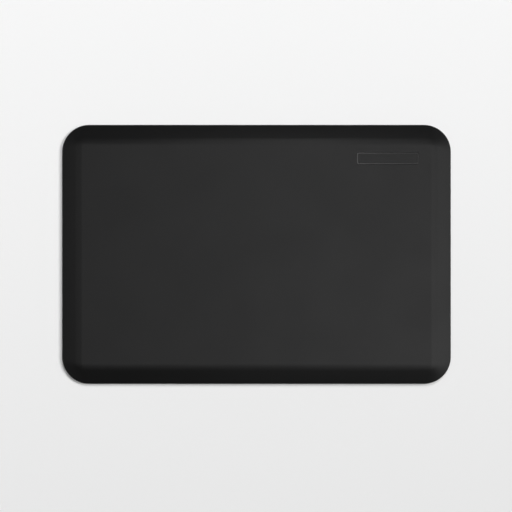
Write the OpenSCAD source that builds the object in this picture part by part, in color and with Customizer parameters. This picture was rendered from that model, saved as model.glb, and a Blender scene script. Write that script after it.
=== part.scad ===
// Anti-fatigue standing mat: a moulded polyurethane cover with a bevelled edge,
// the resilient foam core that it holds, and the grip base that closes it.
// Millimetres, +Z up, origin at the middle of the underside.

/* [Mat] */
// Overall length, left to right
mat_length = 914.4; // [500:0.1:1800]
// Overall width, front to back
mat_width = 609.6; // [400:0.1:1200]
// Overall thickness, floor to tread
mat_thickness = 19; // [12:0.5:24]
// Plan radius of the four corners
corner_radius = 63.5; // [48:0.5:120]

/* [Bevelled edge] */
// Slope of the ramp, in degrees above the floor
ramp_angle = 20; // [14:0.5:32]
// Height at which the ramp's line meets the outer edge
edge_height = 4.5; // [4:0.1:10]
// Radius of the roll from the ramp into the tread
roll_radius = 52; // [10:1:100]
// Radius between the outer edge and the ramp
edge_radius = 3; // [1:0.1:4]
// Radius at the foot of the outer edge
foot_radius = 0.8; // [0.2:0.1:1.2]

/* [Cover] */
// Thickness of the cover's skin under the tread and the ramp
cover_wall = 2; // [1.2:0.1:3]
// Thickness of the hem that turns in under the base
hem_thickness = 1.2; // [0.8:0.1:2]
// How far the hem laps under the base's flange
hem_lap = 7.5; // [4:0.5:16]

/* [Bare panel] */
// Length of the bare panel's outline
panel_length = 146; // [60:1:200]
// Width of the bare panel's outline
panel_width = 29; // [20:0.5:60]
// Plan radius of the panel's corners
panel_radius = 5; // [4:0.5:10]
// Width of the fine groove round the panel
panel_groove = 1.2; // [0.6:0.1:2]
// Width of the bead that frames the panel
panel_bead = 2.4; // [1:0.1:3]
// Depth of the panel below the tread
panel_depth = 0.8; // [0.4:0.1:1]
// Distance from the mat's right side to the panel
panel_from_side = 77; // [70:1:300]
// Distance from the mat's back to the panel
panel_from_back = 65.5; // [60:0.5:250]

/* [Core] */
// Least thickness of the core, at its thin edge
core_edge = 1.2; // [0.5:0.1:3]

/* [Grip base] */
// Thickness of the flange that lies on the hem
flange_thickness = 1; // [0.6:0.1:2]
// Plain border between the hem and the grip pads
base_border = 26; // [15:1:50]
// Wanted pitch of the grip pads, fitted to a whole number of pads
pad_pitch = 60; // [40:1:120]
// Width of the channels between the pads
channel_width = 5; // [2:0.5:10]
// Depth of the channels
channel_depth = 1; // [0.4:0.1:1.2]

/* [Fit] */
// Bond line between the core, the cover and the base
bond_line = 0.2; // [0.05:0.05:0.3]

/* [Hidden] */

cover_black = "#2c2c2d";
core_grey = "#4a4b4d";
base_black = "#1f2021";

// Facets of a full turn, and steps of the arcs in the edge's section
$fn = 96;
roll_steps = 12;
edge_steps = 8;

// The roll into the tread is as large as the plan corners leave room for
least_tread_radius = 2;
ramp_rise = mat_thickness - edge_height;
roll_share = 1 / cos(ramp_angle) - 1;
roll_limit = ((corner_radius - least_tread_radius) * tan(ramp_angle) - ramp_rise) / roll_share;
tread_roll = min(roll_radius, roll_limit);

// Centres of the arcs in the edge's section, as distance in from the outer edge and height
roll_centre = [
    (ramp_rise + tread_roll * roll_share) / tan(ramp_angle),
    mat_thickness - tread_roll
];
edge_centre = [
    edge_radius,
    edge_height + edge_radius * tan(ramp_angle) - edge_radius / cos(ramp_angle)
];
foot_centre = [foot_radius, foot_radius];
ramp_normal = 90 + ramp_angle;

// Height of the ramp at a distance in from the outer edge, under a skin of that thickness
function ramp_height(distance, skin) =
    edge_height + distance * tan(ramp_angle) - skin / cos(ramp_angle);

// Distance in from the outer edge at which the ramp has a height, under a skin of that thickness
function ramp_distance(height, skin) =
    (height - edge_height + skin / cos(ramp_angle)) / tan(ramp_angle);

// The stack under the ramp: base, bond line and the core's thin edge set how wide the solid rim is
base_thickness = hem_thickness + bond_line + flange_thickness;
core_floor = base_thickness + bond_line;
core_roof = mat_thickness - cover_wall - bond_line;
rim_width = max(cover_wall, ramp_distance(core_floor + core_edge + bond_line, cover_wall));
core_inset = rim_width + bond_line;
hem_width = rim_width + hem_lap;

// The field of grip pads stays inside the base's rounded corners
corner_margin = 10;
field_inset = max(
    hem_width + base_border,
    corner_radius - (corner_radius - hem_width - corner_margin) / sqrt(2)
);
field_length = mat_length - 2 * field_inset;
field_width = mat_width - 2 * field_inset;

// A cut runs this far past the face that it opens
overcut = 1;

// Points of an arc
function arc(centre, radius, from, to, steps) = [
    for (i = [0 : steps])
        let (a = from + (to - from) * i / steps)
            centre + radius * [cos(a), sin(a)]
];

// The roll from ramp to tread, under a skin of that thickness
function roll(skin) = arc(roll_centre, tread_roll - skin, ramp_normal, 90, roll_steps);

function reversed(points) = [for (i = [len(points) - 1 : -1 : 0]) points[i]];

// Section of the cover: up the outside, across the tread, and back along the inside to the hem
cover_section = concat(
    arc(foot_centre, foot_radius, 270, 180, edge_steps),
    arc(edge_centre, edge_radius, 180, ramp_normal, edge_steps),
    roll(0),
    [[corner_radius, mat_thickness], [corner_radius, mat_thickness - cover_wall]],
    reversed(roll(cover_wall)),
    [
        [rim_width, ramp_height(rim_width, cover_wall)],
        [rim_width, hem_thickness],
        [hem_width, hem_thickness],
        [hem_width, 0]
    ]
);

// Section of the core: the space under the cover, less the bond line
core_section = concat(
    [
        [core_inset, core_floor],
        [core_inset, ramp_height(core_inset, cover_wall + bond_line)]
    ],
    roll(cover_wall + bond_line),
    [[corner_radius, core_roof], [corner_radius, core_floor]]
);

// Section of the base: the flange lies on the hem, and the sole fills the hem's opening
base_section = [
    [hem_width + bond_line, 0],
    [hem_width + bond_line, hem_thickness + bond_line],
    [core_inset, hem_thickness + bond_line],
    [core_inset, base_thickness],
    [corner_radius, base_thickness],
    [corner_radius, 0]
];

// A section of the edge as a flat outline, with the corner's axis at x = 0
module edge_outline(section) {
    polygon([for (p = section) [corner_radius - p.x, p.y]]);
}

// Carries a section of the edge round the mat, and fills the middle between two heights
module round_the_mat(section, low, high) {
    inner = [mat_length, mat_width] - 2 * corner_radius * [1, 1];
    for (turn = [0 : 3]) {
        reach = inner[turn % 2] / 2;
        side = inner[(turn + 1) % 2];
        rotate(90 * turn) {
            translate([reach, 0, 0])
                rotate([90, 0, 0])
                    linear_extrude(side, center = true)
                        edge_outline(section);
            translate([reach, side / 2, 0])
                rotate_extrude(angle = 90)
                    edge_outline(section);
        }
    }
    translate([-inner.x / 2, -inner.y / 2, low])
        cube([inner.x, inner.y, high - low]);
}

// Flat rectangle with round corners, centred
module rounded_rectangle(length, width, radius) {
    square([length - 2 * radius, width], center = true);
    square([length, width - 2 * radius], center = true);
    for (x = [-1, 1], y = [-1, 1])
        translate([x * (length / 2 - radius), y * (width / 2 - radius)])
            circle(radius);
}

// The panel's outline, drawn in from its edge, with its corners kept a little round
module panel_outline(inset) {
    least_radius = panel_radius / 10;
    rounded_rectangle(
        panel_length - 2 * inset,
        panel_width - 2 * inset,
        max(panel_radius - inset, least_radius)
    );
}

// What the bare panel takes out of the tread: the groove round it and its floor, with the bead between
module panel_cut() {
    translate([
        mat_length / 2 - panel_from_side - panel_length / 2,
        mat_width / 2 - panel_from_back - panel_width / 2,
        mat_thickness - panel_depth
    ])
        linear_extrude(panel_depth + overcut) {
            difference() {
                panel_outline(0);
                panel_outline(panel_groove);
            }
            panel_outline(panel_groove + panel_bead);
        }
}

// What the channels take out of the sole: a lattice that leaves a whole number of pads
module channel_cut() {
    span = [field_length, field_width] - channel_width * [1, 1];
    pads = [for (s = span) max(1, round(s / pad_pitch))];
    translate([0, 0, -overcut])
        linear_extrude(channel_depth + overcut) {
            for (i = [0 : pads.x])
                translate([(i / pads.x - 1 / 2) * span.x, 0])
                    square([channel_width, field_width], center = true);
            for (j = [0 : pads.y])
                translate([0, (j / pads.y - 1 / 2) * span.y])
                    square([field_length, channel_width], center = true);
        }
}

// Moulded polyurethane cover: tread, bevelled edge, solid rim and turned-in hem
module top_cover() {
    color(cover_black)
        difference() {
            round_the_mat(cover_section, mat_thickness - cover_wall, mat_thickness);
            panel_cut();
        }
}

// Closed-cell foam that gives underfoot, shaped to the inside of the cover
module foam_core() {
    color(core_grey)
        round_the_mat(core_section, core_floor, core_roof);
}

// Soft rubber base with grip pads, its flange trapped between the hem and the core
module grip_base() {
    color(base_black)
        difference() {
            round_the_mat(base_section, 0, base_thickness);
            channel_cut();
        }
}

top_cover();
foam_core();
grip_base();
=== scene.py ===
import math

import bmesh
import bpy
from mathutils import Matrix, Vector


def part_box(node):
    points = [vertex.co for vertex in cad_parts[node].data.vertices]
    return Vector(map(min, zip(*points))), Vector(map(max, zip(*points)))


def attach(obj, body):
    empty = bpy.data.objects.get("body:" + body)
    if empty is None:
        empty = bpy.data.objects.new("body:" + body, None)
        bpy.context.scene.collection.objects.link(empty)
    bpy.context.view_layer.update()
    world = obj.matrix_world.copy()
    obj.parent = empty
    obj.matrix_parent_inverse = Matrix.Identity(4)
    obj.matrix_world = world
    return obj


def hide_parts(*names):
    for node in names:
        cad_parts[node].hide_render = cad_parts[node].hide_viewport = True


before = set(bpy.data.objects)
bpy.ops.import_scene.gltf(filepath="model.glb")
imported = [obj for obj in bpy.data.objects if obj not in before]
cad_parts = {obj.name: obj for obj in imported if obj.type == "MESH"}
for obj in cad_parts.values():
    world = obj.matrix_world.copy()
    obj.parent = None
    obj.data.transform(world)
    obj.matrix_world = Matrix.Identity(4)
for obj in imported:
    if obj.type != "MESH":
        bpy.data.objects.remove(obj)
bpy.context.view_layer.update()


# Top cover: the mat's moulded skin of matte black polyurethane, two millimetres thick.
# It is cast in one piece: a flat tread, a ramp all round, a solid rim, and a hem that turns in
# under the base. A bare framed panel is sunk into the tread near its back right corner.
MM = 0.001
cover_low, cover_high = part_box("top_cover")
core_low, core_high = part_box("foam_core")
base_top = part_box("grip_base")[1].z

mat_length = cover_high.x - cover_low.x
mat_width = cover_high.y - cover_low.y
mat_thickness = cover_high.z
corner_radius = 63.5 * MM
corner_segments = 28

foot_radius = 0.8 * MM
foot_segments = 4
edge_height = 4.5 * MM
edge_radius = 3 * MM
edge_segments = 8
ramp_angle = math.radians(20)
roll_radius = 52 * MM
roll_segments = 14
tread_corner = 12 * MM

cover_wall = 2 * MM
hem_thickness = 1.2 * MM
hem_lap = 7.5 * MM
bond_line = core_low.z - base_top
core_inset = cover_high.x - core_high.x
rim_width = core_inset - bond_line
hem_width = rim_width + hem_lap

panel_length = 146 * MM
panel_width = 29 * MM
panel_radius = 5 * MM
panel_segments = 8
panel_from_side = 77 * MM
panel_from_back = 65.5 * MM
panel_depth = 0.8 * MM

# The panel's frame, from its outline inwards: a groove, then a bead, with flanks drawn in steps.
groove_fall = 0.5 * MM
groove_depth = 0.25 * MM
bead_rise = 0.5 * MM
bead_margin = 0.2 * MM
bead_crest = 1.8 * MM
bead_fall = 0.4 * MM
flank_steps = 5

# A narrow level strip beside each curved face keeps the flat faces evenly shaded.
level_margin = 0.8 * MM

# Places within a hair of each other count as one. A face is level if its normal's Z passes LEVEL.
HAIR = 1e-6
LEVEL = 0.9


def ramp_height(inset, skin):
    """Height of the ramp at a distance in from the outer edge, under a skin of that thickness."""
    return edge_height + inset * math.tan(ramp_angle) - skin / math.cos(ramp_angle)


def select_edges(test):
    """Selects the edges of the mesh being edited that pass a test."""
    mesh = bmesh.from_edit_mesh(bpy.context.object.data)
    bpy.ops.mesh.select_mode(type="EDGE")
    bpy.ops.mesh.select_all(action="DESELECT")
    for edge in mesh.edges:
        if test(edge):
            edge.select_set(True)
    bmesh.update_edit_mesh(bpy.context.object.data)


def select_faces(test):
    """Selects the faces of the mesh being edited whose middle and normal pass a test."""
    mesh = bmesh.from_edit_mesh(bpy.context.object.data)
    bpy.ops.mesh.select_mode(type="FACE")
    bpy.ops.mesh.select_all(action="DESELECT")
    for face in mesh.faces:
        if test(face.calc_center_median(), face.normal):
            face.select_set(True)
    bmesh.update_edit_mesh(bpy.context.object.data)


def select_rims():
    """Selects the open rims of the mesh being edited."""
    bpy.ops.mesh.select_mode(type="EDGE")
    bpy.ops.mesh.select_all(action="DESELECT")
    bpy.ops.mesh.select_non_manifold()


def is_upright(edge):
    """Tells whether an edge's two ends differ in height."""
    return abs(edge.verts[0].co.z - edge.verts[1].co.z) > HAIR


def lies_at(edge, height):
    """Tells whether an edge's two ends are both at one height."""
    return all(abs(end.co.z - height) < HAIR for end in edge.verts)


def bevel_ring(height, offset, segments):
    """Rounds the ring of edges that lies at one height."""
    select_edges(lambda edge: lies_at(edge, height))
    bpy.ops.mesh.bevel(offset=offset, segments=segments, profile=0.5, affect="EDGES")


def rounded_block(name, inset, low, high):
    """A block with the mat's outline, drawn in by an inset, left open for editing."""
    bpy.ops.object.select_all(action="DESELECT")
    size = (mat_length - 2 * inset, mat_width - 2 * inset, high - low)
    bpy.ops.mesh.primitive_cube_add(size=1, location=(0, 0, (low + high) / 2), scale=size)
    bpy.ops.object.transform_apply(location=True, rotation=True, scale=True)
    block = bpy.context.object
    block.name = name
    bpy.ops.object.mode_set(mode="EDIT")
    select_edges(is_upright)
    radius = corner_radius - inset
    bpy.ops.mesh.bevel(offset=radius, segments=corner_segments, profile=0.5, affect="EDGES")
    return block


def square_up(height, radius):
    """Tightens the corners of the outline at one height from a radius to the tread's own."""
    mesh = bmesh.from_edit_mesh(bpy.context.object.data)
    ring = [v for v in mesh.verts if abs(v.co.z - height) < HAIR]
    middle = [max(v.co[axis] for v in ring) - radius for axis in (0, 1)]
    for v in ring:
        for axis in (0, 1):
            past = abs(v.co[axis]) - middle[axis]
            if past > -HAIR:
                tightened = middle[axis] + radius - tread_corner + past * tread_corner / radius
                v.co[axis] = math.copysign(tightened, v.co[axis])
    bmesh.update_edit_mesh(bpy.context.object.data)


def ramped_block(name, inset, low, skin):
    """A rounded block whose top ramps up and rolls into the tread, under a skin of that thickness."""
    shoulder = ramp_height(inset, skin)
    top = mat_thickness - skin
    block = rounded_block(name, inset, low, shoulder)
    ramp_width = (top - shoulder) / math.tan(ramp_angle)
    select_faces(lambda middle, normal: normal.z > LEVEL)
    bpy.ops.mesh.inset(thickness=ramp_width, depth=top - shoulder)
    square_up(top, corner_radius - inset - ramp_width)
    bevel_ring(top, (roll_radius - skin) * math.tan(ramp_angle / 2), roll_segments)
    select_faces(lambda middle, normal: middle.z > top - HAIR)
    bpy.ops.mesh.inset(thickness=level_margin)
    return block


def open_underneath(low, margin):
    """Opens the flat underside of the block being edited, leaving a margin round the opening."""
    select_faces(lambda middle, normal: middle.z < low + HAIR and normal.z < -LEVEL)
    bpy.ops.mesh.inset(thickness=margin)
    bpy.ops.mesh.delete(type="ONLY_FACE")


def face_outwards():
    """Turns every face of the mesh being edited to the outside."""
    bpy.ops.mesh.select_all(action="SELECT")
    bpy.ops.mesh.normals_make_consistent(inside=False)


def finish_mesh(piece, sharp_angle):
    """Leaves edit mode and shades the piece smooth, except at edges past the sharp angle."""
    bpy.ops.object.mode_set(mode="OBJECT")
    bpy.ops.object.select_all(action="DESELECT")
    piece.select_set(True)
    bpy.context.view_layer.objects.active = piece
    bpy.ops.object.shade_smooth_by_angle(angle=sharp_angle)


def calculate(tree, operation, first, second):
    """Adds a sum to a node tree, of two values that are numbers or other nodes' outputs."""
    node = tree.nodes.new("ShaderNodeMath")
    node.operation = operation
    for socket, value in zip(node.inputs, (first, second)):
        if isinstance(value, bpy.types.NodeSocket):
            tree.links.new(value, socket)
        else:
            socket.default_value = value
    return node.outputs[0]


# Grain: domes rise and creases darken, as painted shade, over a share of a cell.
# The swells are wider and higher.
dome_reach = 0.35
crease_reach = 0.12
crease_painted_shade = 0.65
swells_per_cell = 0.2
swell_height = 3
swell_detail = 1
mottle_detail = 4


def grain_group():
    """Moulded grain: small domes parted by creases, on a slow swell, with a mottle over all."""
    group = bpy.data.node_groups.new("moulded_grain", "ShaderNodeTree")
    socket = group.interface.new_socket
    socket(name="Vector", in_out="INPUT", socket_type="NodeSocketVector")
    socket(name="Cell Size", in_out="INPUT", socket_type="NodeSocketFloat")
    socket(name="Mottle Size", in_out="INPUT", socket_type="NodeSocketFloat")
    socket(name="Height", in_out="OUTPUT", socket_type="NodeSocketFloat")
    socket(name="Shade", in_out="OUTPUT", socket_type="NodeSocketFloat")
    nodes, link = group.nodes, group.links.new
    given = nodes.new("NodeGroupInput")
    made = nodes.new("NodeGroupOutput")
    cells_per_metre = calculate(group, "DIVIDE", 1, given.outputs["Cell Size"])
    mottles_per_metre = calculate(group, "DIVIDE", 1, given.outputs["Mottle Size"])
    swells_per_metre = calculate(group, "MULTIPLY", cells_per_metre, swells_per_cell)

    cells = nodes.new("ShaderNodeTexVoronoi")
    cells.feature = "DISTANCE_TO_EDGE"
    link(given.outputs["Vector"], cells.inputs["Vector"])
    link(cells_per_metre, cells.inputs["Scale"])
    dome = nodes.new("ShaderNodeMapRange")
    dome.interpolation_type = "SMOOTHSTEP"
    dome.inputs["From Max"].default_value = dome_reach
    link(cells.outputs["Distance"], dome.inputs["Value"])
    swell = nodes.new("ShaderNodeTexNoise")
    swell.inputs["Detail"].default_value = swell_detail
    link(given.outputs["Vector"], swell.inputs["Vector"])
    link(swells_per_metre, swell.inputs["Scale"])
    swelling = calculate(group, "MULTIPLY", swell.outputs["Fac"], swell_height)
    link(calculate(group, "ADD", dome.outputs["Result"], swelling), made.inputs["Height"])

    mottle = nodes.new("ShaderNodeTexNoise")
    mottle.inputs["Detail"].default_value = mottle_detail
    link(given.outputs["Vector"], mottle.inputs["Vector"])
    link(mottles_per_metre, mottle.inputs["Scale"])
    # Darkening the mottle in the creases is painted shade; the same value also makes the creases
    # rougher.
    crease = nodes.new("ShaderNodeMapRange")
    crease.inputs["From Max"].default_value = crease_reach
    crease.inputs["To Min"].default_value = crease_painted_shade
    crease.inputs["To Max"].default_value = 1
    link(cells.outputs["Distance"], crease.inputs["Value"])
    shade = calculate(group, "MULTIPLY", mottle.outputs["Fac"], crease.outputs["Result"])
    link(shade, made.inputs["Shade"])
    return group


grain = grain_group()

# Shades of the grain at which a surface is at its roughest and at its smoothest.
roughest_shade = 0.3
smoothest_shade = 0.7


def grained_material(name, dark, light, rough, smooth, cell, mottle, relief):
    """A moulded surface: rough in the creases of its grain and darkened there by painted shade,
    lighter and smoother between.
    """
    material = bpy.data.materials.new(name)
    material.use_nodes = True
    nodes, link = material.node_tree.nodes, material.node_tree.links.new
    shader = nodes["Principled BSDF"]
    place = nodes.new("ShaderNodeTexCoord")
    surface = nodes.new("ShaderNodeGroup")
    surface.node_tree = grain
    surface.inputs["Cell Size"].default_value = cell
    surface.inputs["Mottle Size"].default_value = mottle
    link(place.outputs["Object"], surface.inputs["Vector"])

    # The base colour takes the material's random mottle together with the painted shade in the
    # grain's creases.
    tint = nodes.new("ShaderNodeMix")
    tint.data_type = "RGBA"
    tint.inputs["A"].default_value = (*dark, 1)
    tint.inputs["B"].default_value = (*light, 1)
    link(surface.outputs["Shade"], tint.inputs["Factor"])
    link(tint.outputs["Result"], shader.inputs["Base Color"])

    dullness = nodes.new("ShaderNodeMapRange")
    dullness.inputs["From Min"].default_value = roughest_shade
    dullness.inputs["From Max"].default_value = smoothest_shade
    dullness.inputs["To Min"].default_value = rough
    dullness.inputs["To Max"].default_value = smooth
    link(surface.outputs["Shade"], dullness.inputs["Value"])
    link(dullness.outputs["Result"], shader.inputs["Roughness"])

    bump = nodes.new("ShaderNodeBump")
    bump.inputs["Distance"].default_value = relief
    link(surface.outputs["Height"], bump.inputs["Height"])
    link(bump.outputs["Normal"], shader.inputs["Normal"])
    return material


cover_dark = (0.0028, 0.0028, 0.0029)
cover_light = (0.0042, 0.0042, 0.0043)
cover_cell = 1.4 * MM
cover_mottle = 120 * MM
matte = grained_material(
    "matte_polyurethane",
    dark=cover_dark,
    light=cover_light,
    rough=0.40,
    smooth=0.36,
    cell=cover_cell,
    mottle=cover_mottle,
    relief=0.02 * MM,
)
polished = grained_material(
    "polished_polyurethane",
    dark=cover_dark,
    light=cover_light,
    rough=0.15,
    smooth=0.13,
    cell=cover_cell,
    mottle=cover_mottle,
    relief=0.003 * MM,
)

cover = ramped_block("top_cover_moulding", inset=0, low=0, skin=0)
cover.data.materials.append(matte)
cover.data.materials.append(polished)
bevel_ring(edge_height, edge_radius * math.tan(math.pi / 4 - ramp_angle / 2), edge_segments)
bevel_ring(0, foot_radius, foot_segments)

# The panel is drawn on the tread as a rounded rectangle with a level margin, and stepped inwards:
# down the groove, up to the polished bead's crest, and down to the panel's floor.
select_faces(lambda middle, normal: normal.z > LEVEL and middle.xy.length < MM)
bpy.ops.mesh.delete(type="ONLY_FACE")
panel_middle = (
    cover_high.x - panel_from_side - panel_length / 2,
    cover_high.y - panel_from_back - panel_width / 2,
    mat_thickness,
)
panel_size = (panel_length + 2 * level_margin, panel_width + 2 * level_margin, 1)
bpy.ops.mesh.primitive_plane_add(size=1, location=panel_middle)
bpy.ops.transform.resize(value=panel_size, center_override=panel_middle)
bpy.ops.mesh.bevel(
    offset=panel_radius + level_margin, segments=panel_segments, profile=0.5, affect="VERTICES"
)
bpy.ops.mesh.select_mode(type="FACE")
bpy.ops.mesh.inset(thickness=level_margin)


def step_inwards(run, rise):
    """Draws the selected face inwards along half a wave of that run and rise."""
    for step in range(flank_steps):
        turn = [math.cos(math.pi * (step + n) / flank_steps) for n in (0, 1)]
        bpy.ops.mesh.inset(thickness=run / flank_steps, depth=rise * (turn[0] - turn[1]) / 2)


def finish_selected(finish):
    """Gives the selected faces one of the cover's finishes."""
    cover.active_material_index = cover.data.materials.find(finish.name)
    bpy.ops.object.material_slot_assign()


step_inwards(groove_fall, -groove_depth)
finish_selected(polished)
step_inwards(bead_rise, groove_depth)
for width in (bead_margin, bead_crest, bead_margin):
    bpy.ops.mesh.inset(thickness=width)
step_inwards(bead_fall, -panel_depth)
finish_selected(matte)
bpy.ops.mesh.inset(thickness=level_margin)

# The flat tread fills the ring between the roll and the panel.
select_rims()
bpy.ops.mesh.fill(use_beauty=True)
face_outwards()
open_underneath(0, hem_width - foot_radius)
bpy.ops.object.mode_set(mode="OBJECT")

# The inside is a second, smaller surface turned to face inwards, which leaves room for the core and
# the base's flange. The two surfaces meet round the opening in the hem.
inside = ramped_block("cover_inside", inset=rim_width, low=hem_thickness, skin=cover_wall)
inside.data.materials.append(matte)
open_underneath(hem_thickness, hem_lap)
bpy.ops.mesh.select_all(action="SELECT")
bpy.ops.mesh.flip_normals()
bpy.ops.object.mode_set(mode="OBJECT")
bpy.ops.object.select_all(action="DESELECT")
inside.select_set(True)
cover.select_set(True)
bpy.context.view_layer.objects.active = cover
bpy.ops.object.join()
bpy.ops.object.mode_set(mode="EDIT")
select_rims()
bpy.ops.mesh.bridge_edge_loops()
crease_angle = math.radians(35)
finish_mesh(cover, crease_angle)

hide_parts("top_cover")
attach(cover, "root")


# Foam core: the slab of closed-cell foam that gives underfoot. It is shaped to the inside of the
# cover, one bond line smaller all round, and fills it from the base to the tread.
core_skin = cover_wall + bond_line
core = ramped_block("foam_core_slab", inset=core_inset, low=core_low.z, skin=core_skin)
finish_mesh(core, crease_angle)

foam = grained_material(
    "closed_cell_foam",
    dark=(0.045, 0.046, 0.048),
    light=(0.065, 0.066, 0.068),
    rough=0.95,
    smooth=0.85,
    cell=2.2 * MM,
    mottle=25 * MM,
    relief=0.2 * MM,
)
core.data.materials.append(foam)

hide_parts("foam_core")
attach(core, "root")


# Grip base: the soft rubber sole that closes the mat. Its thin flange is trapped between the hem
# and the core, and its dimpled pads, parted by channels, stand on the floor.
flange_low = hem_thickness + bond_line
sole_inset = hem_width + bond_line
sole_edge = 0.5 * MM
sole_segments = 8
base_border = 26 * MM
channel_width = 5 * MM
channel_depth = 1 * MM
channel_draft = 0.3 * MM
pad_pitch = 60 * MM
pad_rim = 2.5 * MM
pad_dimples = 8
dimple_depth = 0.7 * MM

# The dimples are shallow, so the base's edges count as sharp from a smaller angle.
base_crease_angle = math.radians(12)

# Length and width of the field of pads, of the grid between the middles of its outer channels, and of
# those channels' floor. The grid holds a whole number of pads each way.
field = [side - 2 * (hem_width + base_border) for side in (mat_length, mat_width)]
grid = [side - channel_width for side in field]
channel_floor = [side - 2 * channel_draft for side in field]
pads = [round(side / pad_pitch) for side in grid]

base = rounded_block("grip_base_sole", core_inset, flange_low, base_top)
select_faces(lambda middle, normal: normal.z < -LEVEL)
bpy.ops.mesh.inset(thickness=sole_inset - core_inset)
bpy.ops.mesh.extrude_region_move(TRANSFORM_OT_translate={"value": (0, 0, -flange_low)})
bevel_ring(0, sole_edge, sole_segments)
select_faces(lambda middle, normal: middle.z < HAIR and normal.z < -LEVEL)
bpy.ops.mesh.delete(type="ONLY_FACE")

# The pads start as a grid at the channels' depth, one cell for each pad.
bpy.ops.mesh.primitive_grid_add(
    x_subdivisions=pads[0], y_subdivisions=pads[1], size=1, location=(0, 0, channel_depth)
)
bpy.ops.transform.resize(value=(*grid, 1), center_override=(0, 0, channel_depth))
bpy.ops.mesh.flip_normals()
bpy.ops.mesh.select_mode(type="FACE")
bpy.ops.mesh.inset(use_individual=True, thickness=channel_width / 2 - channel_draft)
bpy.ops.mesh.inset(use_individual=True, thickness=channel_draft, depth=channel_depth)
bpy.ops.mesh.inset(use_individual=True, thickness=pad_rim)
bpy.ops.mesh.subdivide(number_cuts=pad_dimples - 1)
bpy.ops.mesh.poke(offset=-dimple_depth)


def draw_out_rim(start, end, drop):
    """Draws the selected rim down by a drop, and out from one length and width to another."""
    bpy.ops.mesh.extrude_edges_move(TRANSFORM_OT_translate={"value": (0, 0, -drop)})
    growth = [after / before for before, after in zip(start, end)]
    bpy.ops.transform.resize(value=(*growth, 1), center_override=(0, 0, 0))


# The outer channel is drawn out from the grid's rim, and the plain border joins it to the sole.
select_edges(lambda edge: edge.is_boundary and lies_at(edge, channel_depth))
draw_out_rim(grid, channel_floor, drop=0)
draw_out_rim(channel_floor, field, drop=channel_depth)
select_rims()
bpy.ops.mesh.fill(use_beauty=True)
face_outwards()
finish_mesh(base, base_crease_angle)

rubber = grained_material(
    "grip_rubber",
    dark=(0.012, 0.012, 0.012),
    light=(0.020, 0.020, 0.020),
    rough=0.78,
    smooth=0.68,
    cell=1.0 * MM,
    mottle=60 * MM,
    relief=0.03 * MM,
)
base.data.materials.append(rubber)

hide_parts("grip_base")
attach(base, "root")


# Studio: a pale floor whose colour is painted a little darker towards the viewer, as a painted
# falloff of light from the back, under a dim surround that is pale near the horizon and holds a few
# soft glows, as large diffusing panels give. Two nearby panels show only in the mat's sheen. Two
# distant lamps brighten the floor and throw the mat's narrow shadow on it.
floor_radius = 9
floor_segments = 96
floor_drop = 0.2 * MM
# The floor's colour holds painted light: its back is painted lighter and its front darker, as light
# falling off towards the viewer.
floor_back = (0.97, 0.97, 0.97)
floor_front = (0.836, 0.836, 0.836)
painted_falloff_reach = 0.6
bpy.ops.object.select_all(action="DESELECT")
bpy.ops.mesh.primitive_circle_add(
    vertices=floor_segments, radius=floor_radius, fill_type="NGON", location=(0, 0, -floor_drop)
)
floor = bpy.context.object
floor.name = "studio_floor"
paper = bpy.data.materials.new("studio_paper")
paper.use_nodes = True
nodes, link = paper.node_tree.nodes, paper.node_tree.links.new
shader = nodes["Principled BSDF"]
shader.inputs["Roughness"].default_value = 1
shader.inputs["Specular IOR Level"].default_value = 0
place = nodes.new("ShaderNodeTexCoord")
apart = nodes.new("ShaderNodeSeparateXYZ")
fade = nodes.new("ShaderNodeMapRange")
fade.inputs["From Min"].default_value = -painted_falloff_reach
fade.inputs["From Max"].default_value = painted_falloff_reach
tone = nodes.new("ShaderNodeMix")
tone.data_type = "RGBA"
tone.inputs["A"].default_value = (*floor_front, 1)
tone.inputs["B"].default_value = (*floor_back, 1)
link(place.outputs["Object"], apart.inputs["Vector"])
link(apart.outputs["Y"], fade.inputs["Value"])
link(fade.outputs["Result"], tone.inputs["Factor"])
link(tone.outputs["Result"], shader.inputs["Base Color"])
floor.data.materials.append(paper)

# Levels of the surround at heights from the horizon, at 0, towards the zenith, at 1.
surround = ((0, 0.85), (0.2, 0.12), (0.35, 0.12), (0.65, 0.01))
world = bpy.data.worlds.new("studio_surround")
bpy.context.scene.world = world
world.use_nodes = True
sky_nodes, sky_link = world.node_tree.nodes, world.node_tree.links.new
sky_place = sky_nodes.new("ShaderNodeTexCoord")
sky_apart = sky_nodes.new("ShaderNodeSeparateXYZ")
climb = sky_nodes.new("ShaderNodeValToRGB")
climb.color_ramp.interpolation = "EASE"
stops = climb.color_ramp.elements
for height, level in surround[1:-1]:
    stops.new(height)
for stop, (height, level) in zip(stops, surround):
    stop.position = height
    stop.color = (level, level, level, 1)
sky_link(sky_place.outputs["Generated"], sky_apart.inputs["Vector"])
sky_link(sky_apart.outputs["Z"], climb.inputs["Fac"])

# A glow is an oval across the line towards its middle, and endless along that line.
endless = 1e6


def add_glow(light, azimuth, zenith, tall, wide, strength):
    """Adds a soft oval glow to the surround, at an azimuth counted from +X and a zenith angle."""
    aim = sky_nodes.new("ShaderNodeMapping")
    aim.vector_type = "TEXTURE"
    aim.inputs["Rotation"].default_value = (0, math.radians(zenith), math.radians(azimuth))
    aim.inputs["Scale"].default_value = (tall, wide, endless)
    spread = sky_nodes.new("ShaderNodeTexGradient")
    spread.gradient_type = "SPHERICAL"
    soften = sky_nodes.new("ShaderNodeMapRange")
    soften.interpolation_type = "SMOOTHSTEP"
    soften.inputs["To Max"].default_value = strength
    sky_link(sky_place.outputs["Generated"], aim.inputs["Vector"])
    sky_link(aim.outputs["Vector"], spread.inputs["Vector"])
    sky_link(spread.outputs["Fac"], soften.inputs["Value"])
    return calculate(world.node_tree, "ADD", light, soften.outputs["Result"])


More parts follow.
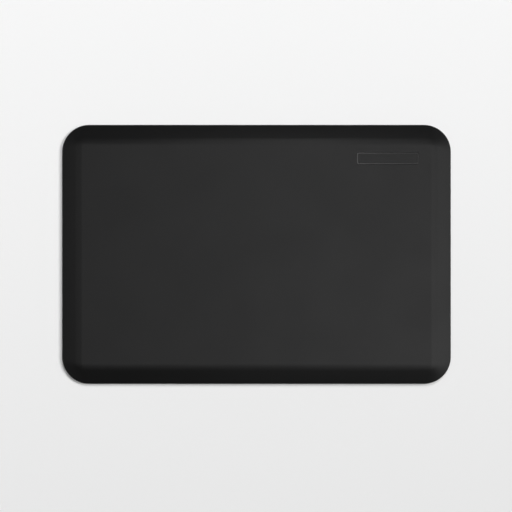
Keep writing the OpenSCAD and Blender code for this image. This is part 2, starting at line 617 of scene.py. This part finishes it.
light = climb.outputs["Color"]
light = add_glow(light, azimuth=339, zenith=20, tall=0.62, wide=0.44, strength=2.00)
light = add_glow(light, azimuth=351, zenith=52, tall=0.39, wide=0.63, strength=1.60)
light = add_glow(light, azimuth=42, zenith=40, tall=0.20, wide=0.26, strength=0.70)
light = add_glow(light, azimuth=174, zenith=31, tall=0.65, wide=0.51, strength=0.64)
light = add_glow(light, azimuth=60, zenith=4.4, tall=0.05, wide=0.05, strength=6)
sky_link(light, sky_nodes["Background"].inputs["Color"])


def shine_panel(name, place, aim, width, height, brightness):
    """A glowing panel near the mat that shows only in its sheen and leaves the floor as it is."""
    turn = (Vector(aim) - Vector(place)).to_track_quat("-Z", "Y").to_euler()
    bpy.ops.object.light_add(type="AREA", location=place, rotation=turn)
    lamp = bpy.context.object
    lamp.name = name
    lamp.data.shape = "RECTANGLE"
    lamp.data.size = width
    lamp.data.size_y = height
    lamp.data.energy = brightness * math.pi * width * height
    lamp.visible_camera = False
    lamp.visible_diffuse = False


shine_panel(
    "back_panel",
    place=(0.15, 0.93, 1.37),
    aim=(0.1, 0.28, 0),
    width=0.58,
    height=0.54,
    brightness=1.5,
)
shine_panel(
    "front_panel",
    place=(0.27, -0.71, 0.55),
    aim=(0.2, -0.28, 0),
    width=0.75,
    height=0.24,
    brightness=0.16,
)


def floor_lamp(name, zenith, azimuth, light_on_floor, spread):
    """A distant lamp that brings the floor an amount of light and shows in no reflection."""
    turn = (0, math.radians(zenith), math.radians(azimuth))
    bpy.ops.object.light_add(type="SUN", rotation=turn)
    lamp = bpy.context.object
    lamp.name = name
    lamp.data.energy = light_on_floor / math.cos(turn[1])
    lamp.data.angle = math.radians(spread)
    lamp.visible_glossy = False


floor_lamp("right_light", zenith=61, azimuth=16, light_on_floor=1.02, spread=16)
floor_lamp("back_light", zenith=56, azimuth=72, light_on_floor=0.93, spread=16)


# Camera: straight above the mat, from as far off as the photograph's flat view suggests. Its lens and
# its sensor are in millimetres.
camera_place = (-1.27 * MM, -3.79 * MM, 3.3497)
camera_lens = 100
camera_sensor = 36
bpy.ops.object.camera_add(location=camera_place, rotation=(0, 0, 0))
camera = bpy.context.object
camera.data.lens = camera_lens
camera.data.sensor_width = camera_sensor
bpy.context.scene.camera = camera
bpy.context.scene.view_settings.view_transform = "Standard"
